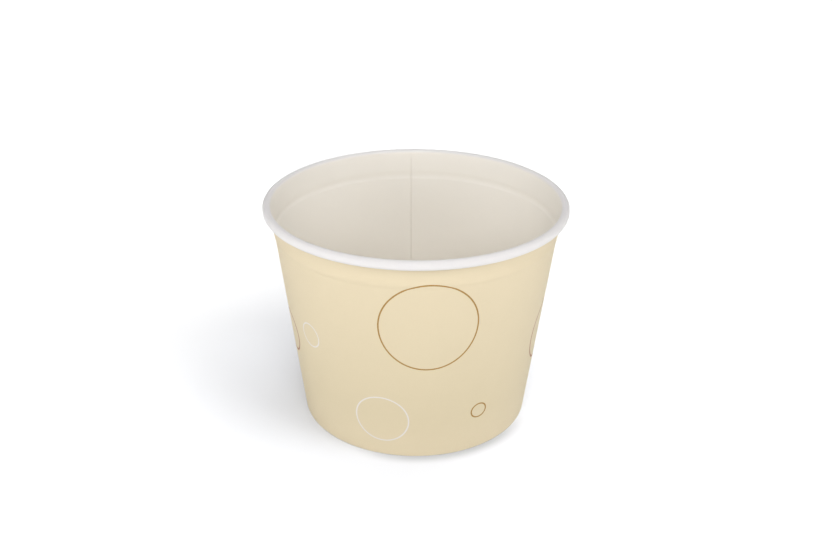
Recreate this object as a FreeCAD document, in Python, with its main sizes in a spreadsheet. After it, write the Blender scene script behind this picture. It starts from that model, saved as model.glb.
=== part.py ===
import FreeCAD
import Part
import Sketcher
import math
import os
import re

from FreeCAD import Placement, Rotation, Vector

# Paper food bucket: a wrapped, lapped and rolled side wall around a skirted bottom disc.
# The frame stands on the floor at the middle of the foot, +Z up, in millimetres. A skin is one
# face of the board: the outer skin is the printed one, the inner skin is the one the food touches.

SIZES = (
    ("rim_diameter", 185.0, "across the outside of the rolled rim"),
    ("overall_height", 138.7, "floor to the crown of the roll"),
    ("base_diameter", 142.5, "across the wall's outer skin, carried down to the floor"),
    ("wall_board", 0.45, "thickness of the side wall's board"),
    ("floor_board", 0.40, "thickness of the bottom disc's board"),
    ("seal_film", 0.02, "coating that fills each sealed joint"),
    ("roll_radius", 2.55, "outside radius of the rim's roll where it starts"),
    ("roll_flank", 0.9, "upright flank between the roll's upper and lower bends"),
    ("roll_slack", 0.05, "gap left where the roll comes back round to the wall"),
    ("bead_drop", 17.2, "crown of the roll down to the crest of the stacking bead"),
    ("bead_height", 0.35, "how far the bead stands out of the wall"),
    ("bead_width", 7.2, "bead measured along the wall"),
    ("fold_radius", 0.05, "inside radius of the two folds at the foot"),
    ("hem_height", 8.5, "floor to the free edge of the hem"),
    ("hem_slack", 0.7, "free edge of the hem up to the underside of the bottom disc"),
    ("skirt_bend", 0.50, "inside radius where the disc turns down into its skirt"),
    ("lap_width", 9.0, "overlap of the blank's two ends"),
    ("ramp_width", 1.4, "length in which the upper layer comes down off the lap"),
    ("lap_tuck", 0.6, "how far the lap runs up behind the roll"),
    ("lap_foot", 0.1, "how far above the fold the lap starts"),
    ("seam_azimuth", 92.25, "direction of the blank's inner cut edge, degrees from +X"),
)
ALIASES = re.compile(r"\b(" + "|".join(alias for alias, _, _ in SIZES) + r")\b")

# Lengths and angles that follow from the sizes. The roll is a spiral of quarter arcs, each one
# smaller than the last by ROLL_STEP; the wall leaves the foot's edge and runs tangent to it.
# HEM_DEPTH is the whole foot's thickness: wall, skirt and hem, with a film in each joint. The
# folds' outside radius and the height where they end are one size, FOLD_TOP.
ROLL_STEP = "((wall_board + roll_slack) / 4)"
ROLL_X = f"(rim_diameter / 2 - roll_radius + {ROLL_STEP})"
ROLL_Z = "(overall_height - roll_radius)"
ROLL_RUN = f"({ROLL_X} - base_diameter / 2)"
TAPER = (
    f"(atan({ROLL_RUN} / {ROLL_Z})"
    f" - asin((roll_radius - wall_board) / hypot({ROLL_RUN}; {ROLL_Z})))"
)
BEAD_RADIUS = "((bead_width ^ 2 / 16 + bead_height ^ 2 / 4) / bead_height)"
BEAD_INSET = f"({BEAD_RADIUS} - bead_height)"
BEAD_Z = "(overall_height - bead_drop)"
CREST_X = f"(base_diameter / 2 + {BEAD_Z} * tan({TAPER}) - {BEAD_INSET} * cos({TAPER}))"
CREST_Z = f"({BEAD_Z} + {BEAD_INSET} * sin({TAPER}))"
HEM_DEPTH = "(2 * wall_board + floor_board + 2 * seal_film)"
FOLD_TOP = "(wall_board + fold_radius)"
SKIRT_LOW = f"({FOLD_TOP} + seal_film)"
FLOOR_Z = "(hem_height + hem_slack)"
LAP_LOW = f"({FOLD_TOP} + lap_foot)"
LAP_TOP = "(overall_height - 2 * roll_radius - roll_flank + lap_tuck)"
MEAN_RADIUS = "((base_diameter + rim_diameter) / 4)"
LAP_ANGLE = f"(lap_width / {MEAN_RADIUS} * 180 / pi)"
RAMP_ANGLE = f"(ramp_width / {MEAN_RADIUS} * 180 / pi)"

START, END, CENTRE = 1, 2, 3  # the sketcher's numbers for the points of an edge

# Each bend follows a guide arc in a few flats, which turn into cones and keep the meshes light.
ROLL_FLATS = {"printed": (2, 2, 2, 2), "inside": (3, 3, 3, 2)}  # in each quarter of the roll
FOLD_FLATS = {"printed": 2, "inside": 1}
BEAD_FLATS = 1  # in each half of the bead's crest, and in each hollow beside it
SKIRT_FLATS = {"upper": 2, "under": 1}

doc = FreeCAD.newDocument("food_bucket")


def make_sheet():
    """Put every driving dimension in a spreadsheet, one aliased cell each."""
    sheet = doc.addObject("Spreadsheet::Sheet", "sizes")
    for row, (alias, value, meaning) in enumerate(SIZES, start=1):
        sheet.set(f"A{row}", meaning)
        sheet.set(f"B{row}", str(value))
        sheet.setAlias(f"B{row}", alias)
    doc.recompute()
    return sheet


def on_sheet(formula):
    """Write a formula in the document's terms, with the sheet's name before each alias."""
    return ALIASES.sub(r"sizes.\1", formula)


def number(formula):
    """The present value of a formula, in millimetres or degrees."""
    result = sheet.evalExpression(ALIASES.sub(r"\1", formula))
    return float(getattr(result, "Value", result))


def new_body(name):
    body = doc.addObject("PartDesign::Body", name)
    body.Label = name
    return body


def new_sketch(body, name, turn=None):
    """A sketch on the body's XZ plane, turned about +Z by a formula where one is given."""
    plane = next(o for o in body.Origin.OriginFeatures if o.Role == "XZ_Plane")
    sketch = body.newObject("Sketcher::SketchObject", name)
    sketch.AttachmentSupport = (plane, [""])
    sketch.MapMode = "FlatFace"
    if turn:
        sketch.AttachmentOffset = Placement(Vector(), Rotation(Vector(0, 1, 0), number(turn)))
        sketch.setExpression("AttachmentOffset.Rotation.Angle", on_sheet(turn))
    return sketch


class Drawing:
    """Adds edges to a sketch, and dimensions that stay bound to the sheet."""

    def __init__(self, sketch):
        self.sketch = sketch

    def tie(self, kind, *references):
        return self.sketch.addConstraint(Sketcher.Constraint(kind, *references))

    def size(self, kind, *references, formula):
        """A dimension that follows a formula; an angle is held in radians inside the sketch."""
        value = number(formula)
        if kind == "Angle":
            value = math.radians(value)
        index = self.tie(kind, *references, value)
        self.sketch.setExpression(f"Constraints[{index}]", on_sheet(formula))

    def line(self, start, end):
        return self.sketch.addGeometry(Part.LineSegment(Vector(*start, 0), Vector(*end, 0)))

    def guide_arc(self, centre, radius, first, last, flats):
        """A construction arc, anticlockwise between two directions, and equal flats along it."""
        circle = Part.Circle(Vector(*centre, 0), Vector(0, 0, 1), radius)
        arc = Part.ArcOfCircle(circle, math.radians(first), math.radians(last))
        guide = self.sketch.addGeometry(arc, True)
        sweep = math.radians(last - first)
        stops = [arc.value(math.radians(first) + sweep * n / flats) for n in range(flats + 1)]
        end = (guide, START)
        for index, (one, other) in enumerate(zip(stops, stops[1:])):
            flat = self.line((one.x, one.y), (other.x, other.y))
            self.tie("Coincident", flat, START, *end)
            if index:
                self.tie("PointOnObject", flat, START, guide)
                self.tie("Equal", flat, flat - 1)
            end = (flat, END)
        self.tie("Coincident", *end, guide, END)
        return guide

    def join(self, one, other):
        """A line that closes the gap between two (edge, point) ends."""
        ends = [self.sketch.getPoint(*end) for end in (one, other)]
        edge = self.line(*((point.x, point.y) for point in ends))
        self.tie("Coincident", edge, START, *one)
        self.tie("Coincident", edge, END, *other)

    def height(self, edge, point, formula):
        """Hold a point at a height above the floor."""
        self.size("DistanceY", -1, START, edge, point, formula=formula)

    def offset(self, edge, point, formula):
        """Hold a point at a distance from the bucket's axis."""
        self.size("DistanceX", -1, START, edge, point, formula=formula)


class Skin:
    """One skin of the board in section, drawn upwards as tangent straights and bends.

    The printed skin has a lift of 0, and another skin lies that far outside it.
    """

    def __init__(self, drawing, lift, start, heading):
        self.draw = drawing
        self.lift = lift
        self.place = start
        self.heading = heading
        self.tail = None

    def _link(self, edge, entry, leave):
        if self.tail:
            self.draw.tie("Tangent", *self.tail, edge, entry)
        self.tail = (edge, leave)
        return edge

    def straight(self, length):
        angle = math.radians(self.heading)
        x, y = self.place
        self.place = (x + length * math.cos(angle), y + length * math.sin(angle))
        return self._link(self.draw.line((x, y), self.place), START, END)

    def bend(self, formula, turn, flats):
        """A bend to the left (turn over 0) or to the right, of the radius a formula gives."""
        radius = number(formula)
        side = math.copysign(1, turn)
        inward = math.radians(self.heading + side * 90)
        centre = (
            self.place[0] + radius * math.cos(inward),
            self.place[1] + radius * math.sin(inward),
        )
        first = self.heading - side * 90
        last = first + turn
        self.heading += turn
        outward = math.radians(last)
        self.place = (
            centre[0] + radius * math.cos(outward),
            centre[1] + radius * math.sin(outward),
        )
        if turn > 0:
            edge = self._link(self.draw.guide_arc(centre, radius, first, last, flats), START, END)
        else:
            edge = self._link(self.draw.guide_arc(centre, radius, last, first, flats), END, START)
        self.draw.size("Radius", edge, formula=formula)
        return edge

    def wall(self, lower_length, upper_length):
        """The tapered wall with its stacking bead; gives its lower and upper straights."""
        lift = self.lift
        sweep = math.degrees(2 * math.atan(2 * number("bead_height / bead_width")))
        lower = self.straight(lower_length)
        self.bend(f"{BEAD_RADIUS} - ({lift})", -sweep, BEAD_FLATS)
        crest = self.bend(f"{BEAD_RADIUS} + ({lift})", 2 * sweep, 2 * BEAD_FLATS)
        self.bend(f"{BEAD_RADIUS} - ({lift})", -sweep, BEAD_FLATS)
        upper = self.straight(upper_length)
        self.draw.offset(crest, CENTRE, CREST_X)
        self.draw.height(crest, CENTRE, CREST_Z)
        self.draw.size("Angle", lower, formula=f"90 deg - {TAPER}")
        for straight in (lower, upper):
            self.draw.size("Distance", crest, CENTRE, straight, formula=f"{BEAD_INSET} + ({lift})")
        return lower, upper


def start_of(lift, height):
    """Where a skin of the wall passes a height."""
    reach = number(f"base_diameter / 2 + ({lift}) / cos({TAPER}) + ({height}) * tan({TAPER})")
    return (reach, number(height))


def up_to_bead(low):
    return number(f"({BEAD_Z} - bead_width / 2 - ({low})) / cos({TAPER})")


def draw_board(drawing, side, lift):
    """One skin of the whole board; gives its free ends at the hem and inside the roll."""
    taper = number(TAPER)
    skin = Skin(drawing, lift, start_of(f"-({HEM_DEPTH}) - ({lift})", "hem_height"), 270 - taper)
    fold = f"{FOLD_TOP} + ({lift})"

    hem = skin.straight(number(f"hem_height - {FOLD_TOP}"))
    skin.bend(fold, 90 + taper, FOLD_FLATS[side])
    foot = skin.straight(number(f"{HEM_DEPTH} - 2 * {FOLD_TOP}"))
    skin.bend(fold, 90 - taper, FOLD_FLATS[side])
    lower, upper = skin.wall(
        up_to_bead(FOLD_TOP), number("bead_drop - roll_radius - bead_width / 2")
    )
    drawing.tie("Parallel", hem, lower)
    drawing.size("Distance", hem, START, lower, formula=f"{HEM_DEPTH} + 2 * ({lift})")
    drawing.height(hem, START, "hem_height")
    drawing.tie("Horizontal", foot)
    if number(lift) == 0:
        drawing.tie("PointOnObject", foot, START, -1)
    else:
        drawing.height(foot, START, f"-({lift})")

    # over the crown, out to the rim's widest, down to the lowest point and back in to the wall
    turns = ((taper - 90, "Vertical"), (-90, "Horizontal"), (-90, "Vertical"), (-90, "Horizontal"))
    for step, (turn, alignment) in enumerate(turns):
        if step == 2:
            drawing.size("Distance", skin.straight(number("roll_flank")), formula="roll_flank")
        radius = f"roll_radius - {step} * {ROLL_STEP} - wall_board - ({lift})"
        quarter = skin.bend(radius, turn, ROLL_FLATS[side][step])
        drawing.tie(alignment, quarter, CENTRE, quarter, START)
        if step == 0:
            drawing.offset(quarter, CENTRE, ROLL_X)
            drawing.height(quarter, CENTRE, ROLL_Z)
    return (hem, START), skin.tail


def draw_band(drawing, inner, outer):
    """A closed band that follows the wall and its bead between two lifts, over the lap's height."""
    ends = []
    for lift in (inner, outer):
        skin = Skin(drawing, lift, start_of(lift, LAP_LOW), 90 - number(TAPER))
        lower, upper = skin.wall(
            up_to_bead(LAP_LOW), number(f"{LAP_TOP} - {BEAD_Z} - bead_width / 2")
        )
        drawing.tie("Parallel", lower, upper)
        drawing.height(lower, START, LAP_LOW)
        drawing.height(upper, END, LAP_TOP)
        ends.append(((lower, START), (upper, END)))
    for one, other in zip(*ends):
        drawing.join(one, other)


def revolve(body, kind, sketch, name, angle, backwards=False):
    """Turn a sketch about the bucket's axis, to add to the body or to cut it."""
    feature = body.newObject(f"PartDesign::{kind}", name)
    feature.Profile = sketch
    feature.ReferenceAxis = (sketch, ["V_Axis"])
    feature.Angle = number(angle)
    feature.setExpression("Angle", on_sheet(angle))
    feature.Reversed = backwards
    sketch.Visibility = False
    doc.recompute()
    return feature


def make_side_wall():
    """The wrapped blank: its whole section turned once round, then the lap down the seam."""
    body = new_body("side_wall")
    section = new_sketch(body, "board_section")
    drawing = Drawing(section)
    printed = draw_board(drawing, "printed", "0")
    inside = draw_board(drawing, "inside", "-wall_board")
    for one, other in zip(printed, inside):
        drawing.join(one, other)
    shell = revolve(body, "Revolution", section, "wrapped_board", "360 deg")

    # Past the inner cut edge the board climbs out over that edge, so the wall is opened there
    # for one ramp's width and the ramp fills it, from the plain wall up to the upper layer.
    # The upper layer then lies on the wall, sunk to its middle so that the two are one solid.
    slot_section = new_sketch(body, "ramp_slot_section")
    draw_band(Drawing(slot_section), "-wall_board", "wall_board")
    slot = revolve(body, "Groove", slot_section, "ramp_slot", RAMP_ANGLE)
    if not slot.Shape.Volume < shell.Shape.Volume:
        raise RuntimeError("the ramp's slot cuts nothing")

    upper_end = new_sketch(body, "ramp_upper_end")
    draw_band(Drawing(upper_end), "0", "wall_board")
    lower_end = new_sketch(body, "ramp_lower_end", turn=RAMP_ANGLE)
    draw_band(Drawing(lower_end), "-wall_board", "0")
    ramp = body.newObject("PartDesign::AdditiveLoft", "ramp")
    ramp.Profile = upper_end
    ramp.Sections = [lower_end]
    ramp.Ruled = True
    doc.recompute()

    lap_section = new_sketch(body, "lap_section")
    draw_band(Drawing(lap_section), "-wall_board / 2", "wall_board")
    revolve(body, "Revolution", lap_section, "lap", LAP_ANGLE, backwards=True)
    return body


def make_bottom_disc():
    """The disc of the floor, its edge turned down between the wall and the hem."""
    body = new_body("bottom_disc")
    section = new_sketch(body, "disc_section")
    drawing = Drawing(section)
    wall_corner = section.addGeometry(Part.Point(Vector(number("base_diameter / 2"), 0, 0)), True)
    drawing.offset(wall_corner, START, "base_diameter / 2")
    drawing.tie("PointOnObject", wall_corner, START, -1)

    taper = number(TAPER)
    ends = []
    for side, depth in (("upper", "0"), ("under", "floor_board")):
        lift = f"-(wall_board + seal_film + {depth})"
        skin = Skin(drawing, lift, start_of(lift, SKIRT_LOW), 90 - taper)
        skirt = skin.straight(number(f"{FLOOR_Z} - {SKIRT_LOW} - skirt_bend"))
        skin.bend(f"skirt_bend + floor_board - {depth}", 90 + taper, SKIRT_FLATS[side])
        face = skin.straight(skin.place[0])
        drawing.size("Angle", skirt, formula=f"90 deg - {TAPER}")
        drawing.size("Distance", wall_corner, START, skirt, formula=f"-({lift})")
        drawing.height(skirt, START, SKIRT_LOW)
        drawing.tie("Horizontal", face)
        drawing.tie("PointOnObject", face, END, -2)
        drawing.height(face, END, f"{FLOOR_Z} + floor_board - {depth}")
        ends.append(((skirt, START), (face, END)))
    for one, other in zip(*ends):
        drawing.join(one, other)
    revolve(body, "Revolution", section, "pressed_disc", "360 deg")
    return body


def write_parts(bodies):
    """Check every object and every solid, then write one STEP file per piece."""
    doc.recompute()
    for item in doc.Objects:
        if "Invalid" in item.State or "Error" in item.State:
            raise RuntimeError(f"{item.Name} failed: {item.State}")
    for body in bodies:
        shape = body.Shape
        if shape.isNull() or not shape.isValid() or len(shape.Solids) != 1:
            raise RuntimeError(f"{body.Label} is not one valid solid")
    os.makedirs("parts", exist_ok=True)
    for body in bodies:
        body.Shape.exportStep(f"parts/{body.Label}.step")


sheet = make_sheet()
side_wall = make_side_wall()
bottom_disc = make_bottom_disc()
side_wall.Placement = Placement(Vector(), Rotation(Vector(0, 0, 1), number("seam_azimuth")))
side_wall.setExpression("Placement.Rotation.Angle", on_sheet("seam_azimuth"))
write_parts((side_wall, bottom_disc))
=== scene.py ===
from collections import namedtuple
from functools import reduce
from math import asin, atan, atan2, copysign, cos, hypot, pi, radians, sin

import bmesh
import bpy
from bpy.props import FloatProperty, FloatVectorProperty, PointerProperty
from mathutils import Matrix, Vector


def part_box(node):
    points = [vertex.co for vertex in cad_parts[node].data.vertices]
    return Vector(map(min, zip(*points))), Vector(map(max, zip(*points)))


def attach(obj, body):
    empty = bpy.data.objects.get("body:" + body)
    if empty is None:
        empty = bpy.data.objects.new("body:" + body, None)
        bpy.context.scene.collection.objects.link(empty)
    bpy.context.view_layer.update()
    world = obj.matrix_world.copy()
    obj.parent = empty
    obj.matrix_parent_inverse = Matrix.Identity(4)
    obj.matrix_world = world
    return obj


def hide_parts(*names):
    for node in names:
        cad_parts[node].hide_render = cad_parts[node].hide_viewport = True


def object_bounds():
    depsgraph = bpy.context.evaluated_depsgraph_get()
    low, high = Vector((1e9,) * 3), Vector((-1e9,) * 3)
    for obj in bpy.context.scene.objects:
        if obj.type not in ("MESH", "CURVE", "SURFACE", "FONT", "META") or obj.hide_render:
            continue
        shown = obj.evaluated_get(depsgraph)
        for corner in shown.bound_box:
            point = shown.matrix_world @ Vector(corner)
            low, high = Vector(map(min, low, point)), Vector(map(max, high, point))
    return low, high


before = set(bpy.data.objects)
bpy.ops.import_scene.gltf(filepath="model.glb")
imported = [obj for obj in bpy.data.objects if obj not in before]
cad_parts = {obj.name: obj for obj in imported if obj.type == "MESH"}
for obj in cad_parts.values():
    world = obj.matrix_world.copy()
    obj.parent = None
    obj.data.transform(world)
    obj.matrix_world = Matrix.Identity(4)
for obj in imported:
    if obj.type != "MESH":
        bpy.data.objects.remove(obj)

bl_info = {
    "name": "Paper food bucket",
    "version": (1, 0, 0),
    "blender": (4, 5, 0),
    "location": "3D View > Sidebar > Bucket",
    "description": "A round tapered paperboard bucket with a rolled rim, a stacking bead and "
                   "a recessed bottom",
    "category": "Add Mesh",
}

# Lengths are in metres; MM turns the board maker's millimetres into metres.
MM = 0.001
FULL_TURN = 2 * pi
HALF_TURN = pi
QUARTER = pi / 2

A_LITTLE = 0.01 * MM   # the room kept inside the frame's box, and the reach of a merge
CAD_LOW, CAD_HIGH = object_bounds()
WALL_LOW, WALL_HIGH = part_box("side_wall")
DISC_LOW, DISC_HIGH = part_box("bottom_disc")


def size(name, description, millimetres):
    """A length that a user can change."""
    return FloatProperty(name=name, description=description, default=millimetres * MM,
                         min=0.0, precision=5, unit="LENGTH", subtype="DISTANCE")


def turn(name, description, degrees):
    """An angle that a user can change."""
    return FloatProperty(name=name, description=description, default=radians(degrees),
                         unit="ROTATION", subtype="ANGLE")


def tint(name, description, rgb):
    """A colour that a user can change, as linear light."""
    return FloatVectorProperty(name=name, description=description, default=rgb,
                               min=0.0, max=1.0, size=3, subtype="COLOR")


class BucketWallSizes(bpy.types.PropertyGroup):
    """Sizes of the wrapped side wall, its roll, its bead and its seam"""

    rim_radius: size("Rim radius", "From the axis to the widest place of the roll",
                     (min(WALL_HIGH.x, WALL_HIGH.y, -WALL_LOW.x, -WALL_LOW.y) - A_LITTLE) / MM)
    rim_height: size("Rim height", "From the table to the top of the roll",
                     (WALL_HIGH.z - A_LITTLE) / MM)
    foot_radius: size("Foot radius", "Where the printed face would meet the table", 71.25)
    board: size("Board", "Thickness of the side wall's board", 0.45)
    seal: size("Seal", "Film between two sealed layers", 0.02)
    roll_radius: size("Roll radius", "Outside radius of the roll's first quarter", 2.55)
    roll_flank: size("Roll flank", "Upright flank between the roll's upper and lower bends", 0.9)
    roll_step: size("Roll step", "How much tighter each next quarter of the roll is", 0.125)
    bead_height: size("Bead height", "How far the stacking bead stands out", 0.40)
    bead_crest: size("Bead crest", "Height of the bead's crest above the table", 121.5)
    bead_lower: size("Bead lower flank", "From the bead's lower edge up to its crest", 2.7)
    bead_upper: size("Bead upper flank", "From the bead's crest up to its end", 4.1)
    fold_radius: size("Fold radius", "Outside radius of the folds at the foot", 0.5)
    hem_stack: size("Hem stack", "Wall, disc skirt and hem together, across the foot", 1.34)
    hem_height: size("Hem height", "From the table to the hem's free edge", 8.5)
    lap_top: size("Lap top", "Height where the outer layer goes under the roll", 133.3)
    knurl_depth: size("Knurl depth", "Height of the sealing wheel's marks on the hem", 0.07)
    seam: turn("Seam", "Direction of the inner cut edge, from +X towards +Y", 92.25)
    ramp: turn("Seam ramp", "Turn in which the board climbs over its own start", 0.55)
    lap: turn("Lap", "Turn that the outer layer covers past the cut edge", 6.3)


class BucketDiscSizes(bpy.types.PropertyGroup):
    """Sizes of the bottom disc and its down-turned skirt"""

    board: size("Board", "Thickness of the disc's board", 0.40)
    top: size("Top", "Height of the disc's upper face", DISC_HIGH.z / MM)
    radius: size("Radius", "Widest radius of the disc, at its bend", DISC_HIGH.x / MM)
    bend: size("Bend", "Outside radius of the bend into the skirt", 0.9)
    foot: size("Skirt foot", "Height of the skirt's cut edge", DISC_LOW.z / MM)


class BucketColours(bpy.types.PropertyGroup):
    """Inks and boards, as linear light"""

    # The two creams are the ends of the painted light and shade up the wall, and of the board's
    # random tone.
    print_light: tint("Print", "Cream print where the ink is thinnest", (0.770, 0.660, 0.463))
    print_deep: tint("Deep print", "Cream print where most ink lies", (0.688, 0.591, 0.401))
    brown_ink: tint("Brown ink", "Thin brown circles", (0.354, 0.178, 0.006))
    white_ink: tint("White ink", "Thin white circles", (0.765, 0.725, 0.700))
    mauve_ink: tint("Mauve ink", "Thin mauve-brown circles", (0.350, 0.135, 0.055))
    # The rim's colour: less yellow than the food side of the same board, and darker as painted
    # shade on the roll.
    roll_shaded_white: tint("Rim white", "Coated board on the roll", (0.786, 0.765, 0.764))
    food_white: tint("Inside white", "Coated board on the food side", (0.932, 0.893, 0.824))
    food_deep: tint("Inside tone", "Food side where the board shows through", (0.924, 0.884, 0.814))
    raw_board: tint("Raw board", "Uncoated underside of the disc", (0.700, 0.660, 0.590))
    raw_fibre: tint("Raw fibre", "Darker fibres in uncoated board", (0.560, 0.500, 0.410))
    table: tint("Table", "Pale sweep under the bucket", (0.550, 0.550, 0.550))
    # A painted cool tone near the bucket, which cancels the warm light that the bucket throws onto
    # the sweep.
    table_near: tint("Table near", "Sweep close to the bucket, against its warm glow",
                     (0.548, 0.558, 0.584))
    table_glow: tint("Table glow", "What the sweep sends back to the bucket", (0.410, 0.410, 0.410))


# ---------------------------------------------------------------- mesh helpers

class SectionPen:
    """Draws a bent board's section in the XZ plane as one chain of edges, and measures it"""

    def __init__(self, mesh, along, radius, height, heading):
        self.mesh, self.along, self.heading, self.drawn = mesh, along, heading, 0.0
        self.tip = mesh.verts.new((radius, 0.0, height))

    def _measure(self, count, start):
        """Notes how far along the section each vertex after the first count of them lies."""
        self.mesh.verts.ensure_lookup_table()
        for vert in self.mesh.verts[count:]:
            self.drawn += (vert.co - start).length
            vert[self.along] = self.drawn
            start = vert.co.copy()
        self.tip = self.mesh.verts[-1]

    def straight(self, run, steps=1):
        """Draws a straight run, divided into even steps."""
        ahead = Vector((cos(self.heading), 0.0, sin(self.heading))) * (run / steps)
        for _ in range(steps):
            count, start = len(self.mesh.verts), self.tip.co.copy()
            made = bmesh.ops.extrude_vert_indiv(self.mesh, verts=[self.tip])
            bmesh.ops.translate(self.mesh, verts=made["verts"], vec=ahead)
            self._measure(count, start)

    def bend(self, radius, angle, steps):
        """Bends to the left for a positive angle and to the right for a negative one."""
        left = Vector((-sin(self.heading), 0.0, cos(self.heading)))
        count, start = len(self.mesh.verts), self.tip.co.copy()
        bmesh.ops.spin(self.mesh, geom=[self.tip], cent=start + left * copysign(radius, angle),
                       axis=(0.0, 1.0, 0.0), angle=-angle, steps=steps)
        self._measure(count, start)
        self.heading += angle

    def step_aside(self, run, rise, first_share, steps):
        """Draws an S of two bends that moves the line to its right by rise.

        first_share is the first bend's part of the two radii together.
        """
        angle = 2 * atan(abs(rise) / run)
        both_radii = run / sin(angle)
        angle = copysign(angle, rise)
        self.bend(both_radii * first_share, -angle, steps)
        self.bend(both_radii * (1 - first_share), angle, steps)


def spin_about_axis(mesh, geometry, angle, steps, whole=False):
    """Spins geometry about the bucket's axis and returns its last copy as (vertices, edges).

    whole is for a full turn, whose last copy is merged with the start.
    """
    made = bmesh.ops.spin(mesh, geom=geometry, cent=(0.0, 0.0, 0.0), axis=(0.0, 0.0, 1.0),
                          angle=angle, steps=steps, use_merge=whole)
    last = made["geom_last"]
    return ([x for x in last if isinstance(x, bmesh.types.BMVert)],
            [x for x in last if isinstance(x, bmesh.types.BMEdge)])


def face_outwards(mesh, is_right):
    """Turns an open skin's faces all one way, and round again if is_right finds them wrong."""
    bmesh.ops.recalc_face_normals(mesh, faces=mesh.faces[:])
    if not is_right(mesh):
        bmesh.ops.reverse_faces(mesh, faces=mesh.faces[:])


def thicken(mesh, board, cut_slot):
    """Gives an outward skin its board, and returns the faces of its inner skin."""
    skin_faces = len(mesh.faces)
    # This adds an inner skin of as many faces, and after it the faces of the cut edges.
    bmesh.ops.solidify(mesh, geom=mesh.faces[:], thickness=board)
    mesh.faces.index_update()
    for face in mesh.faces:
        face.smooth = True
        if face.index >= 2 * skin_faces:
            face.material_index = cut_slot
    for edge in mesh.edges:
        cuts = [face.material_index == cut_slot for face in edge.link_faces]
        edge.smooth = all(cuts) or not any(cuts)
    return mesh.faces[skin_faces:2 * skin_faces]


def finish_piece(name, mesh, materials, node):
    """Turns a bmesh into a piece that stands for a node of the frame."""
    data = bpy.data.meshes.new(name)
    mesh.to_mesh(data)
    mesh.free()
    for material in materials:
        data.materials.append(material)
    piece = bpy.data.objects.new(name, data)
    bpy.context.scene.collection.objects.link(piece)
    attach(piece, "root")
    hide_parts(node)


# ---------------------------------------------------------------- side wall

ROUND_STEPS = 720          # half a degree each
KNURLS = ROUND_STEPS // 4  # four steps to a mark of the sealing wheel
RAMP_STEPS, LAP_STEPS = 6, 13
FOLD_STEPS = 5             # in each fold at the foot
WALL_STEPS, NECK_STEPS = 6, 2    # up the wall to the bead, and from the bead to the lap's top
BEAD_STEPS = 3             # in each of the bead's four bends
BEAD_LOWER_SHARE, BEAD_UPPER_SHARE = 0.3, 0.5    # the first bend's part of each flank's radii
ROLL_STEPS = (8, 7, 6, 5)  # in each quarter of the roll
FLANK_BEFORE = 2           # the roll's upright flank comes before this quarter, counted from 0
HEM_PLAIN, HEM_FADE = 1.2 * MM, 0.3 * MM    # the hem's edges without marks, and where marks start
LAP_STEP_OFF = 0.5 * MM    # run in which the outer layer's ends come down to the wall
PRINTED, FOOD, ROLL, CUT = range(4)


class WallPlan:
    """Places that follow from the wall's sizes"""

    def __init__(self, sizes):
        self.sizes = sizes
        # The printed face leaves the foot straight, and just touches the inside of the roll's
        # first quarter. From this follow the wall's taper and its length up the slant.
        self.printed_roll = sizes.roll_radius - sizes.board
        across = sizes.rim_radius - sizes.roll_radius + sizes.roll_step - sizes.foot_radius
        up = sizes.rim_height - sizes.roll_radius
        reach = hypot(across, up)
        self.taper = QUARTER - atan2(up, across) - asin(self.printed_roll / reach)
        self.slant = (reach ** 2 - self.printed_roll ** 2) ** 0.5
        # Up the slant and square out of the printed face, each as (outwards, up).
        self.climb = Vector((sin(self.taper), cos(self.taper)))
        self.out = Vector((cos(self.taper), -sin(self.taper)))
        self.apex_reach = sizes.foot_radius / self.climb.x
        # Where the printed face leaves the fold, up the slant from the table.
        self.fold_end = sizes.fold_radius * (1 - self.climb.x) / self.climb.y

    def flat_place(self, azimuth, slant):
        """Where a point of the wrapped wall lies on the flat blank; azimuth is from the front."""
        reach = self.apex_reach + slant
        return Vector((reach * sin(azimuth * self.climb.x),
                       reach * cos(azimuth * self.climb.x) - self.apex_reach))


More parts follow.
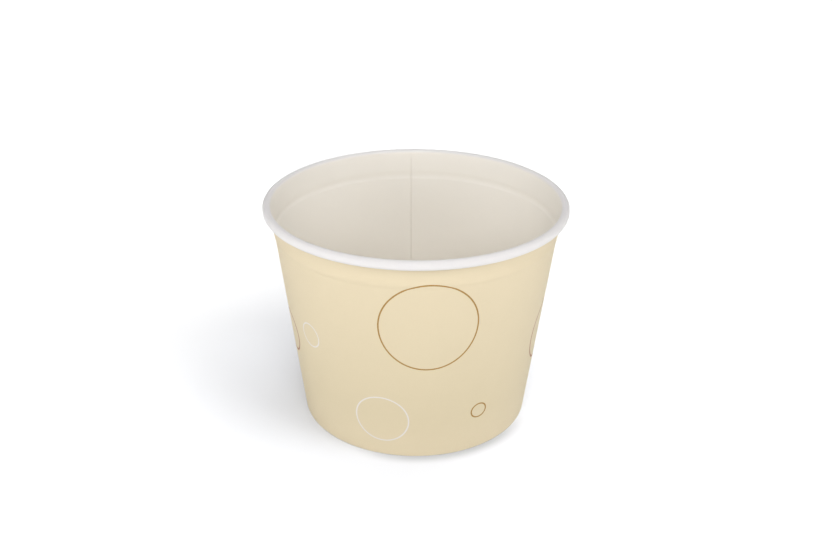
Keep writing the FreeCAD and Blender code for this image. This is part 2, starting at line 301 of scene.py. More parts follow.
def draw_wall_section(mesh, along, plan):
    """Draws the printed face: down the hem, round the foot, up the wall and into the roll."""
    sizes, radius = plan.sizes, plan.sizes.fold_radius
    foot = Vector((sizes.foot_radius, 0.0)) - plan.out * sizes.hem_stack
    start = foot + plan.climb * ((sizes.hem_height - foot.y) / plan.climb.y)
    pen = SectionPen(mesh, along, start.x, start.y, -QUARTER - plan.taper)
    hem = (start.y - radius * (1 + plan.climb.x)) / plan.climb.y
    for run in (HEM_PLAIN, HEM_FADE, hem - 2 * HEM_PLAIN - 2 * HEM_FADE, HEM_FADE, HEM_PLAIN):
        pen.straight(run)
    plan.hem_end = pen.drawn
    pen.bend(radius, QUARTER + plan.taper, FOLD_STEPS)
    fold_out = sizes.foot_radius + plan.fold_end * plan.climb.x - radius * plan.out.x
    pen.straight(fold_out - pen.tip.co.x)
    pen.bend(radius, QUARTER - plan.taper, FOLD_STEPS)
    plan.wall_start = pen.drawn
    pen.straight(LAP_STEP_OFF)
    bead_start = sizes.bead_crest / plan.climb.y - sizes.bead_lower
    pen.straight(bead_start - plan.fold_end - LAP_STEP_OFF, WALL_STEPS)
    pen.step_aside(sizes.bead_lower, sizes.bead_height, BEAD_LOWER_SHARE, BEAD_STEPS)
    pen.step_aside(sizes.bead_upper, -sizes.bead_height, BEAD_UPPER_SHARE, BEAD_STEPS)
    bead_end = bead_start + sizes.bead_lower + sizes.bead_upper
    lap_end = sizes.lap_top / plan.climb.y
    pen.straight(lap_end - LAP_STEP_OFF - bead_end, NECK_STEPS)
    pen.straight(LAP_STEP_OFF)
    plan.lap_end = pen.drawn
    pen.straight(plan.slant - lap_end)
    plan.roll_start = pen.drawn
    quarters = (QUARTER - plan.taper, QUARTER, QUARTER, QUARTER + plan.taper)
    for count, (quarter, steps) in enumerate(zip(quarters, ROLL_STEPS)):
        if count == FLANK_BEFORE:
            pen.straight(sizes.roll_flank)
        pen.bend(plan.printed_roll - count * sizes.roll_step, -quarter, steps)
    plan.board_end = pen.drawn


def smooth_share(x):
    """Rises smoothly from 0 to 1."""
    x = min(1.0, max(0.0, x))
    return x * x * (3 - 2 * x)


def climb_over_seam(plan, verts):
    """Lifts the last steps of the wrap off the wall and up onto the board's own start."""
    sizes = plan.sizes
    for vert in verts:
        turned = (sizes.seam + sizes.ramp - atan2(vert.co.y, vert.co.x)) / sizes.ramp
        lift = smooth_share(turned) * (sizes.board + sizes.seal)
        flat = Vector((vert.co.x, vert.co.y)).normalized() * plan.out.x
        vert.co += Vector((flat.x, flat.y, plan.out.y)) * lift


def press_knurls(mesh, along, plan):
    """Raises the marks that the sealing wheel leaves on the hem, towards the axis."""
    low, high = HEM_PLAIN + HEM_FADE / 2, plan.hem_end - HEM_PLAIN - HEM_FADE / 2
    for vert in mesh.verts:
        if low < vert[along] < high:
            turned = plan.sizes.seam - atan2(vert.co.y, vert.co.x)
            ridge = plan.sizes.knurl_depth * (1 + cos(turned * KNURLS)) / 2
            vert.co -= Vector((vert.co.x, vert.co.y, 0.0)).normalized() * ridge


def wrap_wall(mesh, along, plan):
    """Wraps the section round the axis, over its own start at the seam.

    The last steps of the turn climb onto the start, and from there the outer layer laps on alone,
    on the wall only; the hem, the foot and the roll close without a lap.
    """
    sizes = plan.sizes
    bmesh.ops.rotate(mesh, verts=mesh.verts[:], cent=(0.0, 0.0, 0.0),
                     matrix=Matrix.Rotation(sizes.seam, 3, "Z"))
    first, section = mesh.verts[:], mesh.verts[:] + mesh.edges[:]
    plain_steps = ROUND_STEPS - round(sizes.ramp / FULL_TURN * ROUND_STEPS)
    verts, edges = spin_about_axis(mesh, section, sizes.ramp - FULL_TURN, plain_steps)
    count = len(mesh.verts)
    verts, edges = spin_about_axis(mesh, verts + edges, -sizes.ramp, RAMP_STEPS)
    mesh.verts.ensure_lookup_table()

    def on_wall(vert):
        return plan.wall_start + A_LITTLE < vert[along] < plan.lap_end - A_LITTLE

    climb_over_seam(plan, [vert for vert in mesh.verts[count:] if on_wall(vert)])
    outer = [vert for vert in verts if on_wall(vert)]
    outer += [edge for edge in edges if all(on_wall(vert) for vert in edge.verts)]
    spin_about_axis(mesh, outer, -sizes.lap, LAP_STEPS)
    bmesh.ops.remove_doubles(mesh, verts=first + verts, dist=A_LITTLE)


def azimuth_of(place, near=0.0):
    """Direction from the front (-Y) towards +X, within half a turn of near."""
    azimuth = atan2(place.x, -place.y)
    return azimuth - FULL_TURN * round((azimuth - near) / FULL_TURN)


# Bands of the bake map, as (low, high) up the map: two half turns of print, then the rest.
BANDS = {
    "first print": (0.000, 0.330), "second print": (0.332, 0.662), "food wall": (0.664, 0.840),
    "food roll": (0.842, 0.888), "print roll": (0.890, 0.905), "print hem": (0.907, 0.945),
    "food hem": (0.947, 0.965), "round cuts": (0.967, 0.980), "seam cuts": (0.982, 0.998),
}
MAP_START = radians(-61.75)    # where the first half turn of print starts, clear of the circles


def band_of(face, along, plan, turned):
    """Which band of the bake map a face lies in, and the part of the board that the band holds."""
    distances = [vert[along] for vert in face.verts]
    if face.material_index == CUT:
        return "round cuts" if max(distances) - min(distances) < A_LITTLE else "seam cuts", 0.0, 1.0
    skin = "print" if face.material_index == PRINTED else "food"
    middle = sum(distances) / len(distances)
    if middle < plan.hem_end:
        return skin + " hem", 0.0, plan.hem_end
    if middle > plan.roll_start:
        return skin + " roll", plan.roll_start, plan.board_end
    if skin == "print":
        skin = "first print" if turned < HALF_TURN else "second print"
        return skin, plan.hem_end, plan.roll_start
    return "food wall", plan.hem_end, plan.roll_start


def lay_out_wall(mesh, along, plan, inner_verts):
    """Gives each corner its place on the flat blank and on the bake map."""
    blank = mesh.loops.layers.uv.new("Blank")
    bake = mesh.loops.layers.uv.new("OFBake")
    for face in mesh.faces:
        around = azimuth_of(face.calc_center_median())
        turned = (around - MAP_START) % FULL_TURN
        band, start, end = band_of(face, along, plan, turned)
        low, high = BANDS[band]
        in_halves = band in ("first print", "second print")
        for loop in face.loops:
            distance = loop.vert[along]
            azimuth = azimuth_of(loop.vert.co, around)
            loop[blank].uv = plan.flat_place(azimuth, distance - plan.wall_start + plan.fold_end)
            across = turned + azimuth - around
            if band == "seam cuts":    # they run up the board, so they are laid down along the band
                across = FULL_TURN * distance / plan.board_end
            if in_halves:
                across = 2 * (across - (band == "second print") * HALF_TURN)
            up = (distance - start) / (end - start)
            if face.material_index == CUT:    # from the printed skin to the inner one
                up = float(loop.vert in inner_verts)
            loop[bake].uv = (min(1.0, max(0.0, across / FULL_TURN)), low + (high - low) * up)


class BUCKET_OT_side_wall(bpy.types.Operator):
    """Make the wrapped side wall: hem, foot, printed wall, bead, lapped seam and rolled rim"""

    bl_idname = "bucket.side_wall"
    bl_label = "Side wall"

    def execute(self, context):
        sizes, colours = context.scene.bucket_wall, context.scene.bucket_colours
        plan = WallPlan(sizes)
        mesh = bmesh.new()
        along = mesh.verts.layers.float.new("along")
        draw_wall_section(mesh, along, plan)
        wrap_wall(mesh, along, plan)
        press_knurls(mesh, along, plan)

        def print_is_outside(skin):
            middle, reach = sizes.rim_height / 2, sizes.rim_height / 4
            wall = [face for face in skin.faces
                    if abs(face.calc_center_median().z - middle) < reach]
            return max(wall, key=lambda face: face.calc_center_median().x).normal.x > 0

        face_outwards(mesh, print_is_outside)
        inner_skin = thicken(mesh, sizes.board, CUT)
        for face in inner_skin:
            in_roll = min(vert[along] for vert in face.verts) > plan.roll_start - A_LITTLE
            face.material_index = ROLL if in_roll else FOOD
        inner_verts = {vert for face in inner_skin for vert in face.verts}
        lay_out_wall(mesh, along, plan, inner_verts)
        boards = [printed_board(colours, plan), food_board(colours), roll_board(colours, plan),
                  cut_board(colours)]
        finish_piece("wrapped_wall", mesh, boards, "side_wall")
        return {"FINISHED"}


# ---------------------------------------------------------------- bottom disc

DISC_ROUND_STEPS = 360     # one degree each
DISC_RINGS, DISC_BEND_STEPS, DISC_SKIRT_STEPS = 12, 7, 3
DISC_UNDER, DISC_CUT = 1, 2    # the disc's upper face is finish 0


class BUCKET_OT_bottom_disc(bpy.types.Operator):
    """Make the bottom disc with its skirt, turned down between the wall and the hem"""

    bl_idname = "bucket.bottom_disc"
    bl_label = "Bottom disc"

    def execute(self, context):
        sizes, colours = context.scene.bucket_disc, context.scene.bucket_colours
        taper = WallPlan(context.scene.bucket_wall).taper
        mesh = bmesh.new()
        along = mesh.verts.layers.float.new("along")
        pen = SectionPen(mesh, along, 0.0, sizes.top, 0.0)
        pen.straight(sizes.radius - sizes.bend, DISC_RINGS)
        pen.bend(sizes.bend, -QUARTER - taper, DISC_BEND_STEPS)
        pen.straight((pen.tip.co.z - sizes.foot) / cos(taper), DISC_SKIRT_STEPS)
        section = mesh.verts[:] + mesh.edges[:]
        spin_about_axis(mesh, section, FULL_TURN, DISC_ROUND_STEPS, whole=True)
        bmesh.ops.remove_doubles(mesh, verts=mesh.verts[:], dist=A_LITTLE)

        def top_is_up(skin):
            inner = min(skin.faces, key=lambda face: face.calc_center_median().xy.length)
            return inner.normal.z > 0

        face_outwards(mesh, top_is_up)
        for face in thicken(mesh, sizes.board, DISC_CUT):
            face.material_index = DISC_UNDER
        boards = [food_board(colours), raw_board(colours), cut_board(colours)]
        finish_piece("pressed_bottom", mesh, boards, "bottom_disc")
        return {"FINISHED"}


# ---------------------------------------------------------------- shared material effects

NODE_ACROSS, NODE_DOWN, NODES_IN_ROW = 200, -260, 8    # how nodes are set out in the editor
MIX_FACTOR, MIX_COLOURS, MIX_RESULT = 0, (6, 7), 2     # the Mix node's sockets for colours


def effect(name, inputs, outputs, build):
    """Makes a shader node group once, with named inputs and outputs, and hands it back."""
    group = bpy.data.node_groups.get(name)
    if group:
        return group
    group = bpy.data.node_groups.new(name, "ShaderNodeTree")
    for label, kind, value in inputs:
        socket = group.interface.new_socket(label, in_out="INPUT", socket_type="NodeSocket" + kind)
        if value is not None:
            socket.default_value = value
    for label, kind in outputs:
        group.interface.new_socket(label, in_out="OUTPUT", socket_type="NodeSocket" + kind)
    sheet = NodeSheet(group)
    build(sheet, sheet.add("NodeGroupInput").outputs, sheet.add("NodeGroupOutput").inputs)
    return group


class NodeSheet:
    """Adds nodes to a tree from left to right and links them as they come"""

    def __init__(self, tree):
        self.tree, self.count = tree, 0

    def add(self, kind, values=(), **settings):
        """Adds a node; values are (input, value or socket) pairs."""
        node = self.tree.nodes.new(kind)
        for name, value in settings.items():
            setattr(node, name, value)
        row, column = divmod(self.count, NODES_IN_ROW)
        node.location = (NODE_ACROSS * column, NODE_DOWN * row)
        self.count += 1
        for name, value in values:
            self.put(node.inputs[name], value)
        return node

    def put(self, socket, value):
        """Links a socket, or sets its constant."""
        if isinstance(value, bpy.types.NodeSocket):
            self.tree.links.new(value, socket)
        else:
            socket.default_value = value

    def math(self, operation, *values, clamp=False):
        """One step of arithmetic."""
        node = self.add("ShaderNodeMath", enumerate(values), operation=operation, use_clamp=clamp)
        return node.outputs["Value"]

    def vector_math(self, operation, output, *values):
        """One step of arithmetic on vectors."""
        node = self.add("ShaderNodeVectorMath", enumerate(values), operation=operation)
        return node.outputs[output]

    def weigh(self, *parts):
        """Adds values together, each times its share."""
        return reduce(lambda total, part: self.math("ADD", total, part),
                      [self.math("MULTIPLY", value, share) for value, share in parts])

    def largest(self, values):
        """The largest of some values."""
        return reduce(lambda most, value: self.math("MAXIMUM", most, value), values)

    def mix(self, factor, first, second):
        """Mixes two colours, each a socket or a tint."""
        node = self.add("ShaderNodeMix", data_type="RGBA")
        self.put(node.inputs[MIX_FACTOR], factor)
        for index, value in zip(MIX_COLOURS, (first, second)):
            if not isinstance(value, bpy.types.NodeSocket):
                value = (*value, 1.0)
            self.put(node.inputs[index], value)
        return node.outputs[MIX_RESULT]

    def noise(self, place, grain_size, **settings):
        """Noise whose grains are about grain_size across; settings name its other inputs."""
        values = [("Vector", place), ("Scale", self.math("DIVIDE", 1.0, grain_size))]
        node = self.add("ShaderNodeTexNoise", values + list(settings.items()))
        return node.outputs["Fac"]

    def ramp(self, value, low, high, to_low=0.0, to_high=1.0, kind="SMOOTHSTEP"):
        """Maps a range onto another, smoothly unless it's told otherwise."""
        node = self.add("ShaderNodeMapRange",
                        [("Value", value), ("From Min", low), ("From Max", high),
                         ("To Min", to_low), ("To Max", to_high)], interpolation_type=kind)
        return node.outputs["Result"]

    def group(self, tree, values):
        """Places a shared effect with its own values."""
        node = self.add("ShaderNodeGroup")
        node.node_tree = tree
        for name, value in values:
            self.put(node.inputs[name], value)
        return node.outputs


# The part of the noise's range that is spread from 0 to 1.
CLOUD_RANGE, FLECK_RANGE = (0.3, 0.7), (0.25, 0.75)
# Fibres run both ways through the board: what each set's place is multiplied by.
FIBRE_WAYS = ((1.0, 1.0, 0.22), (0.25, 0.25, 1.0))


def board_tone():
    """Cloudy formation and fine flecks, as board shows when light passes over it."""
    def build(sheet, given, out):
        clouds = sheet.noise(given["Vector"], given["Cloud Size"], Detail=4.0, Roughness=0.6)
        flecks = sheet.noise(given["Vector"], given["Fleck Size"], Detail=3.0, Roughness=0.7)
        sheet.put(out["Clouds"], sheet.ramp(clouds, *CLOUD_RANGE))
        sheet.put(out["Flecks"], sheet.ramp(flecks, *FLECK_RANGE))
    return effect("Board tone",
                  [("Vector", "Vector", None), ("Cloud Size", "Float", 12 * MM),
                   ("Fleck Size", "Float", 0.8 * MM)],
                  [("Clouds", "Float"), ("Flecks", "Float")], build)


def board_fibre():
    """Crossed long fibres under fine grain, as a height."""
    def build(sheet, given, out):
        heights = []
        for way in FIBRE_WAYS:
            drawn_out = sheet.vector_math("MULTIPLY", "Vector", given["Vector"], way)
            heights.append(sheet.noise(drawn_out, given["Fibre Width"], Detail=3.0,
                                       Roughness=0.65, Distortion=0.6))
        grain = sheet.noise(given["Vector"], given["Grain Size"], Detail=2.0)
        part = sheet.math("MULTIPLY", grain, given["Grain Share"])
        sheet.put(out["Height"], sheet.math("ADD", sheet.largest(heights), part))
    return effect("Board fibre",
                  [("Vector", "Vector", None), ("Fibre Width", "Float", 0.5 * MM),
                   ("Grain Size", "Float", 0.25 * MM), ("Grain Share", "Float", 0.4)],
                  [("Height", "Float")], build)


def printed_circle():
    """A thin inked circle on the flat blank, as a mask."""
    def build(sheet, given, out):
        apart = sheet.vector_math("DISTANCE", "Value", given["Place"], given["Centre"])
        off = sheet.math("ABSOLUTE", sheet.math("SUBTRACT", apart, given["Radius"]))
        half = sheet.math("MULTIPLY", given["Line"], 0.5)
        edge = sheet.math("SUBTRACT", sheet.math("ADD", half, given["Spread"]), off)
        soft = sheet.math("MULTIPLY", given["Spread"], 2.0)
        sheet.put(out["Mask"], sheet.math("DIVIDE", edge, soft, clamp=True))
    return effect("Printed circle",
                  [("Place", "Vector", None), ("Centre", "Vector", (0.0, 0.0, 0.0)),
                   ("Radius", "Float", 10 * MM), ("Line", "Float", 0.8 * MM),
                   ("Spread", "Float", 0.05 * MM)],
                  [("Mask", "Float")], build)


# A board's relief: the bump's strength and depth, its fibres' width, its grain's size and share.
Relief = namedtuple("Relief", "strength depth fibre grain grain_share")


def new_finish(name, roughness, relief, colour_of, **shader):
    """Builds a board's material, or hands back the one that is there already.

    The roughness runs over its range with the board's flecks. colour_of gives the colour, and
    what ink takes off the roughness or None. shader holds constants for the shader's own sockets.
    """
    material = bpy.data.materials.get(name)
    if material:
        return material
    material = bpy.data.materials.new(name)
    material.use_nodes = True
    material.node_tree.nodes.clear()
    sheet = NodeSheet(material.node_tree)
    place = sheet.add("ShaderNodeTexCoord").outputs["Object"]
    board = sheet.add("ShaderNodeBsdfPrincipled")
    for socket, value in shader.items():
        board.inputs[socket.replace("_", " ")].default_value = value
    tone = sheet.group(board_tone(), [("Vector", place)])
    colour, gloss = colour_of(sheet, place, tone)
    sheet.put(board.inputs["Base Color"], colour)
    rough = sheet.ramp(tone["Flecks"], 0.0, 1.0, *roughness)
    if gloss is not None:
        rough = sheet.math("SUBTRACT", rough, gloss)
    sheet.put(board.inputs["Roughness"], rough)
    height = sheet.group(board_fibre(), [
        ("Vector", place), ("Fibre Width", relief.fibre), ("Grain Size", relief.grain),
        ("Grain Share", relief.grain_share)])["Height"]
    bump = sheet.add("ShaderNodeBump", [("Height", height), ("Strength", relief.strength),
                                        ("Distance", relief.depth)])
    sheet.put(board.inputs["Normal"], bump.outputs["Normal"])
    out = sheet.add("ShaderNodeOutputMaterial")
    sheet.put(out.inputs["Surface"], board.outputs["BSDF"])
    return material


# Printed circles: direction of the centre from the front in degrees, towards +X; its height above
# the table and the diameter, in millimetres.
BROWN_CIRCLES = ((5.4, 93.7, 57.5), (30.6, 28.9, 10.0), (150.0, 52.0, 50.0),
                 (-118.0, 98.0, 13.0))
WHITE_CIRCLES = ((-15.1, 27.0, 32.3), (-50.4, 71.7, 15.5), (112.0, 100.0, 18.0),
                 (118.0, 30.0, 30.0), (-150.0, 88.0, 36.0))
MAUVE_CIRCLES = ((-73.8, 60.5, 27.0), (78.7, 61.5, 42.0), (-112.0, 40.0, 44.0),
                 (-168.0, 36.0, 12.0))
BROWN_LINE, WHITE_LINE, MAUVE_LINE = 0.92 * MM, 0.85 * MM, 1.3 * MM
INK_GLOSS = 0.08       # what the circles' ink takes off the roughness
INK_HELD_BACK = 0.86   # how much of that ink covers where the board is most flecked
# Painted light up the slant: the cream is darkest 45 mm up, has turned fully to its paler colour
# 145 mm up towards the rim, and pales again from 34 mm up down to 9 mm below the foot line towards
# the foot.
CREAM_DARKEST_AT, CREAM_LIT_RIM_FULL = 45.0 * MM, 145.0 * MM
CREAM_LIT_FOOT_FROM, CREAM_LIT_FOOT_FULL = 34.0 * MM, -9.0 * MM
INK_CLOUDING = 0.2     # share of the print's tone that follows the board under it
CLOUD_SHARE, FLECK_SHARE = 0.35, 0.65    # of the board's own tone

ROLL_SHADE_BY = 2.0 * MM    # run of the roll over which its board turns to the rim's colour, less yellow and darker with painted shade
ROLL_CLOUDING = 0.12   # share of the inside's tone left in the roll's painted-shade colour
RAW_SHOWN = (0.62, 0.95)    # heights between which a raw fibre comes to be seen
RAW_FIBRE_SHARE, RAW_CLOUD_SHARE = 0.55, 0.25    # how far each darkens the raw board
RAW_FIBRE_WIDTH = 0.35 * MM
PULP_LAYER = 0.12 * MM      # thickness of a layer of pulp, seen at the cut edges


def blank_place(sheet, plan):
    """Place on the flat blank, and how far up the blank that is from the foot line."""
    flat = sheet.add("ShaderNodeUVMap", uv_map="Blank").outputs["UV"]
    from_apex = sheet.vector_math("ADD", "Vector", flat, (0.0, plan.apex_reach, 0.0))
    reach = sheet.vector_math("LENGTH", "Value", from_apex)
    return flat, sheet.math("SUBTRACT", reach, plan.apex_reach)


def board_clouds(sheet, tone):
    """The board's own tone, clouds and flecks together."""
    return sheet.weigh((tone["Clouds"], CLOUD_SHARE), (tone["Flecks"], FLECK_SHARE))


def printed_board(colours, plan):
    """Cream flood print with thin circles in three inks, paler towards the rim and the foot as
    painted light.
    """
    def colour_of(sheet, place, tone):
        flat, up = blank_place(sheet, plan)
        # Painted light: the cream pales towards the rim and towards the foot, and is darkest
        # between them.
        lit_to_rim = sheet.ramp(up, CREAM_DARKEST_AT, CREAM_LIT_RIM_FULL, kind="LINEAR")
        lit_to_foot = sheet.ramp(up, CREAM_LIT_FOOT_FULL, CREAM_LIT_FOOT_FROM, 1.0, 0.0)
        painted_shade = sheet.math("SUBTRACT", 1.0, sheet.math("ADD", lit_to_rim, lit_to_foot))
        shade_and_tone = sheet.weigh((painted_shade, 1 - INK_CLOUDING), (board_clouds(sheet, tone), INK_CLOUDING))
        colour = sheet.mix(shade_and_tone, colours.print_light, colours.print_deep)
        covers = sheet.ramp(tone["Flecks"], 0.0, 1.0, 1.0, INK_HELD_BACK)
        drawn = []
        for ink, line, circles in ((colours.white_ink, WHITE_LINE, WHITE_CIRCLES),
                                   (colours.mauve_ink, MAUVE_LINE, MAUVE_CIRCLES),
                                   (colours.brown_ink, BROWN_LINE, BROWN_CIRCLES)):
            masks = []
            for azimuth, height, across in circles:
                centre = plan.flat_place(radians(azimuth), height * MM / plan.climb.y)
                masks.append(sheet.group(printed_circle(), [
                    ("Place", flat), ("Centre", (centre.x, centre.y, 0.0)),
                    ("Radius", across * MM / 2), ("Line", line)])["Mask"])
            drawn.append(sheet.largest(masks))
            colour = sheet.mix(sheet.math("MULTIPLY", drawn[-1], covers), colour, ink)
        return colour, sheet.math("MULTIPLY", sheet.largest(drawn), INK_GLOSS)
    relief = Relief(strength=0.10, depth=0.05 * MM, fibre=0.5 * MM, grain=0.25 * MM,
                    grain_share=0.4)
    return new_finish("Printed cream board", (0.50, 0.60), relief, colour_of)


def food_board(colours):
    """White board under a thin clear food coating."""
    def colour_of(sheet, place, tone):
        return sheet.mix(board_clouds(sheet, tone), colours.food_white, colours.food_deep), None
    relief = Relief(strength=0.10, depth=0.05 * MM, fibre=0.7 * MM, grain=0.3 * MM,
                    grain_share=0.3)
    return new_finish("Coated food side", (0.40, 0.52), relief, colour_of)


def roll_board(colours, plan):
    """The same coated board, less yellow the further it's stretched round the roll, and darker
    there as painted shade.
    """
    def colour_of(sheet, place, tone):
        _, up = blank_place(sheet, plan)
        # Painted shade: past the roll's start the board turns over a short run to the rim's darker,
        # less yellow colour.
        rolled = sheet.ramp(up, plan.slant, plan.slant + ROLL_SHADE_BY)
        clouds = sheet.math("MULTIPLY", tone["Clouds"], CLOUD_SHARE)
        inside = sheet.mix(clouds, colours.food_white, colours.food_deep)
        clouds = sheet.math("MULTIPLY", tone["Clouds"], ROLL_CLOUDING)
        white = sheet.mix(clouds, colours.roll_shaded_white, colours.food_white)
        return sheet.mix(rolled, inside, white), None
    relief = Relief(strength=0.10, depth=0.05 * MM, fibre=0.5 * MM, grain=0.25 * MM,
                    grain_share=0.3)
    return new_finish("Coated rim board", (0.44, 0.56), relief, colour_of, Specular_IOR_Level=0.35)


def raw_board(colours):
    """Uncoated board with fibres that can be made out one by one."""
    def colour_of(sheet, place, tone):
        fibre = sheet.group(board_fibre(), [("Vector", place),
                                            ("Fibre Width", RAW_FIBRE_WIDTH)])["Height"]
        shown = sheet.ramp(fibre, *RAW_SHOWN, 0.0, RAW_FIBRE_SHARE)
        clouds = sheet.math("MULTIPLY", tone["Clouds"], RAW_CLOUD_SHARE)
        pale = sheet.mix(clouds, colours.raw_board, colours.raw_fibre)
        return sheet.mix(shown, pale, colours.raw_fibre), None
    relief = Relief(strength=0.35, depth=0.08 * MM, fibre=RAW_FIBRE_WIDTH, grain=0.2 * MM,
                    grain_share=0.6)
    return new_finish("Uncoated board", (0.78, 0.92), relief, colour_of)


def cut_board(colours):
    """The board's core at its cut edges, with the layers of pulp that it's made of."""
    def colour_of(sheet, place, tone):
        layers = sheet.ramp(sheet.noise(place, PULP_LAYER, Detail=2.0), *CLOUD_RANGE)
        return sheet.mix(layers, colours.raw_board, colours.raw_fibre), None
    relief = Relief(strength=0.4, depth=0.06 * MM, fibre=0.2 * MM, grain=0.1 * MM,
                    grain_share=0.6)
    return new_finish("Cut board edge", (0.85, 0.95), relief, colour_of)


# ---------------------------------------------------------------- stage

TABLE_SIDE, TABLE_SEGMENTS = 8.0, 8
TABLE_ROUGHNESS = 0.9
CAMERA_ELEVATION = radians(25.964)
CAMERA_REACH = 656.98 * MM
CAMERA_TARGET = Vector((0.27 * MM, 0.0, 85.05 * MM))
CAMERA_ROLL = radians(0.4108)
CAMERA_LENS, SENSOR_WIDTH = 45.27, 36.0    # millimetres, as a lens is sold
CAMERA_CLIP = (0.01, 50.0)
# Soft boxes: name, direction from the front towards +X, elevation, power in watts.
SOFT_BOXES = (
    ("front_box", 0.0, 38.0, 11.4), ("left_box", -65.0, 12.0, 10.7), ("right_box", 65.0, 12.0, 9.7),
    ("back_left_box", -140.0, 65.0, 3.5), ("back_right_box", 140.0, 65.0, 5.9),
    ("back_box", 180.0, 15.0, 2.5),
)
BOX_REACH, BOX_SIDE = 1.5, 0.9
# Even lights for the table alone: name, direction, elevation, softness in degrees, strength.
TABLE_SUNS = (("table_key", 61.0, 45.0, 40.0, 1.8), ("table_fill", 0.0, 88.0, 70.0, 1.35))
SURROUND_WHITE = 1.05
# Distances from the axis between which the sweep brightens to plain white, as the view sees it,
# and by how much; then the same again for its far part.
SWEEP_NEAR, SWEEP_FAR, SWEEP_LIFT = 0.25, 0.90, 0.40
SWEEP_END, SWEEP_END_LIFT = 2.5, 0.15
# The painted shade along the foot: its side, how far round it goes (as cosines), its reach and its
# depth.
SHADE_SIDE, SHADE_ENDS, SHADE_FULL = 20.0, 0.60, 0.95
SHADE_START, SHADE_END, SHADE_DEPTH = 71.0 * MM, 80.5 * MM, 0.36
TINT_END = 0.26    # where the painted cool tone near the bucket, against its warm bounced light, has faded into the sweep's own
BLACK, PLAIN_WHITE = (0.0, 0.0, 0.0), (1.0, 1.0, 1.0, 1.0)


def direction(azimuth, elevation):
    """Unit vector towards a direction from the front (-Y), positive towards +X."""
    return Vector((sin(azimuth) * cos(elevation), -cos(azimuth) * cos(elevation), sin(elevation)))


def pale_sweep(colours):
    """The table's finish, which looks white where no shadow falls, with a painted shade along the
    bucket's foot and a painted cool tone near the bucket.
    """
    material = bpy.data.materials.new("Pale sweep")
    material.use_nodes = True
    sheet = NodeSheet(material.node_tree)
    board = material.node_tree.nodes["Principled BSDF"]
    seen = sheet.add("ShaderNodeLightPath").outputs["Is Camera Ray"]
    board.inputs["Roughness"].default_value = TABLE_ROUGHNESS
    board.inputs["Specular IOR Level"].default_value = 0.0
    board.inputs["Emission Color"].default_value = PLAIN_WHITE
    place = sheet.add("ShaderNodeTexCoord").outputs["Object"]
    away = sheet.vector_math("LENGTH", "Value", place)
    # Painted cool tone near the bucket, against the warm light bounced off it.
    colour = sheet.mix(sheet.ramp(away, SHADE_START, TINT_END), colours.table_near, colours.table)
    # Painted shade: the sweep darkens along the bucket's foot on the side towards the front, a
    # little to the right.
    side = direction(radians(SHADE_SIDE), 0.0)
    towards = sheet.math("DIVIDE", sheet.vector_math("DOT_PRODUCT", "Value", place, side), away)
    shade = sheet.math("MULTIPLY", sheet.ramp(towards, SHADE_ENDS, SHADE_FULL),
                       sheet.ramp(away, SHADE_START, SHADE_END, SHADE_DEPTH, 0.0))
    colour = sheet.mix(shade, colour, BLACK)
    sheet.put(board.inputs["Base Color"], sheet.mix(seen, colours.table_glow, colour))
    lift = sheet.math("ADD", sheet.ramp(away, SWEEP_NEAR, SWEEP_FAR, 0.0, SWEEP_LIFT),
                      sheet.ramp(away, SWEEP_FAR, SWEEP_END, 0.0, SWEEP_END_LIFT))
    sheet.put(board.inputs["Emission Strength"], sheet.math("MULTIPLY", seen, lift))
    return material


def make_table(colours):
    """A wide pale sweep under the bucket."""
    mesh = bmesh.new()
    bmesh.ops.create_grid(mesh, x_segments=TABLE_SEGMENTS, y_segments=TABLE_SEGMENTS,
                          size=TABLE_SIDE / 2)
    data = bpy.data.meshes.new("table")
    mesh.to_mesh(data)
    mesh.free()
    data.materials.append(pale_sweep(colours))
    table = bpy.data.objects.new("table", data)
    bpy.context.scene.collection.objects.link(table)
    return table


def make_surround():
    """Plain white behind the table, which gives no light of its own."""
    world = bpy.data.worlds.new("Surround")
    bpy.context.scene.world = world
    world.use_nodes = True
    sheet = NodeSheet(world.node_tree)
    background = world.node_tree.nodes["Background"]
    background.inputs["Color"].default_value = PLAIN_WHITE
    seen = sheet.add("ShaderNodeLightPath").outputs["Is Camera Ray"]
    sheet.put(background.inputs["Strength"], sheet.math("MULTIPLY", seen, SURROUND_WHITE))


def place_lamp(lamp, azimuth, elevation):
    """Puts a lamp out in a direction and turns it towards the middle of the bucket."""
    holder = bpy.data.objects.new(lamp.name, lamp)
    towards = direction(radians(azimuth), radians(elevation))
    holder.location = Vector((0.0, 0.0, CAD_HIGH.z / 2)) + towards * BOX_REACH
    holder.rotation_euler = towards.to_track_quat("Z", "Y").to_euler()
    bpy.context.scene.collection.objects.link(holder)
    return holder


def make_soft_box(name, azimuth, elevation, power):
    """A square lamp that lights everything."""
    lamp = bpy.data.lights.new(name, "AREA")
    lamp.shape, lamp.size, lamp.energy = "SQUARE", BOX_SIDE, power
    place_lamp(lamp, azimuth, elevation)


def make_table_sun(lit, name, azimuth, elevation, softness, strength):
    """An even light for the table alone; the bucket still throws its soft shadow in it."""
    lamp = bpy.data.lights.new(name, "SUN")
    lamp.angle, lamp.energy = radians(softness), strength
    place_lamp(lamp, azimuth, elevation).light_linking.receiver_collection = lit


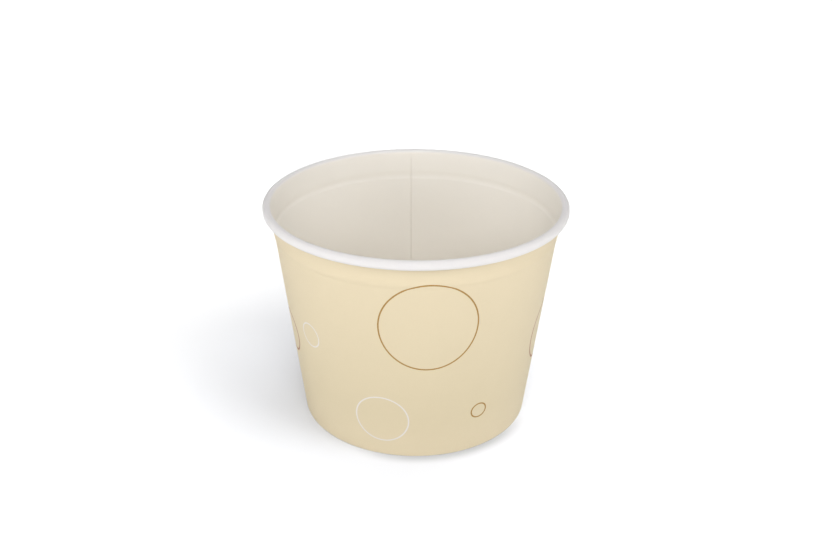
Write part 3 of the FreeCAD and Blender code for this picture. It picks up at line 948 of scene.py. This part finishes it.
def make_camera():
    """A camera at a seated viewer's height in front of the bucket."""
    lens = bpy.data.cameras.new("view")
    lens.lens, lens.sensor_width, lens.sensor_fit = CAMERA_LENS, SENSOR_WIDTH, "HORIZONTAL"
    lens.clip_start, lens.clip_end = CAMERA_CLIP
    camera = bpy.data.objects.new("view", lens)
    turned = (Matrix.Rotation(QUARTER - CAMERA_ELEVATION, 4, "X")
              @ Matrix.Rotation(CAMERA_ROLL, 4, "Z"))
    where = CAMERA_TARGET + direction(0.0, CAMERA_ELEVATION) * CAMERA_REACH
    camera.matrix_world = Matrix.Translation(where) @ turned
    bpy.context.scene.collection.objects.link(camera)
    bpy.context.scene.camera = camera


class BUCKET_OT_stage(bpy.types.Operator):
    """Make the pale table, the soft lights and the camera"""

    bl_idname = "bucket.stage"
    bl_label = "Stage"

    def execute(self, context):
        lit = bpy.data.collections.new("table_only")
        lit.objects.link(make_table(context.scene.bucket_colours))
        make_surround()
        for box in SOFT_BOXES:
            make_soft_box(*box)
        for sun in TABLE_SUNS:
            make_table_sun(lit, *sun)
        make_camera()
        context.scene.view_settings.view_transform = "Standard"
        return {"FINISHED"}


# ---------------------------------------------------------------- add-on

class BUCKET_PT_sidebar(bpy.types.Panel):
    """Lists the bucket's sizes, colours and makers"""

    bl_label = "Paper food bucket"
    bl_idname = "BUCKET_PT_sidebar"
    bl_space_type = "VIEW_3D"
    bl_region_type = "UI"
    bl_category = "Bucket"

    def draw(self, context):
        for owner, group in GROUPS:
            box = self.layout.box()
            for name in group.__annotations__:
                box.prop(getattr(context.scene, owner), name)
        for operator in OPERATORS:
            self.layout.operator(operator.bl_idname)


GROUPS = (("bucket_wall", BucketWallSizes), ("bucket_disc", BucketDiscSizes),
          ("bucket_colours", BucketColours))
OPERATORS = (BUCKET_OT_side_wall, BUCKET_OT_bottom_disc, BUCKET_OT_stage)


def register():
    """Adds the property groups, the operators and the panel."""
    for name, group in GROUPS:
        bpy.utils.register_class(group)
        setattr(bpy.types.Scene, name, PointerProperty(type=group))
    for kind in OPERATORS + (BUCKET_PT_sidebar,):
        bpy.utils.register_class(kind)


def unregister():
    """Takes away what register added, in reverse order."""
    for kind in (BUCKET_PT_sidebar,) + OPERATORS[::-1]:
        bpy.utils.unregister_class(kind)
    for name, group in GROUPS[::-1]:
        delattr(bpy.types.Scene, name)
        bpy.utils.unregister_class(group)


def main():
    """Makes every piece and the stage."""
    register()
    bpy.ops.bucket.side_wall()
    bpy.ops.bucket.bottom_disc()
    bpy.ops.bucket.stage()


if __name__ == "__main__":
    main()
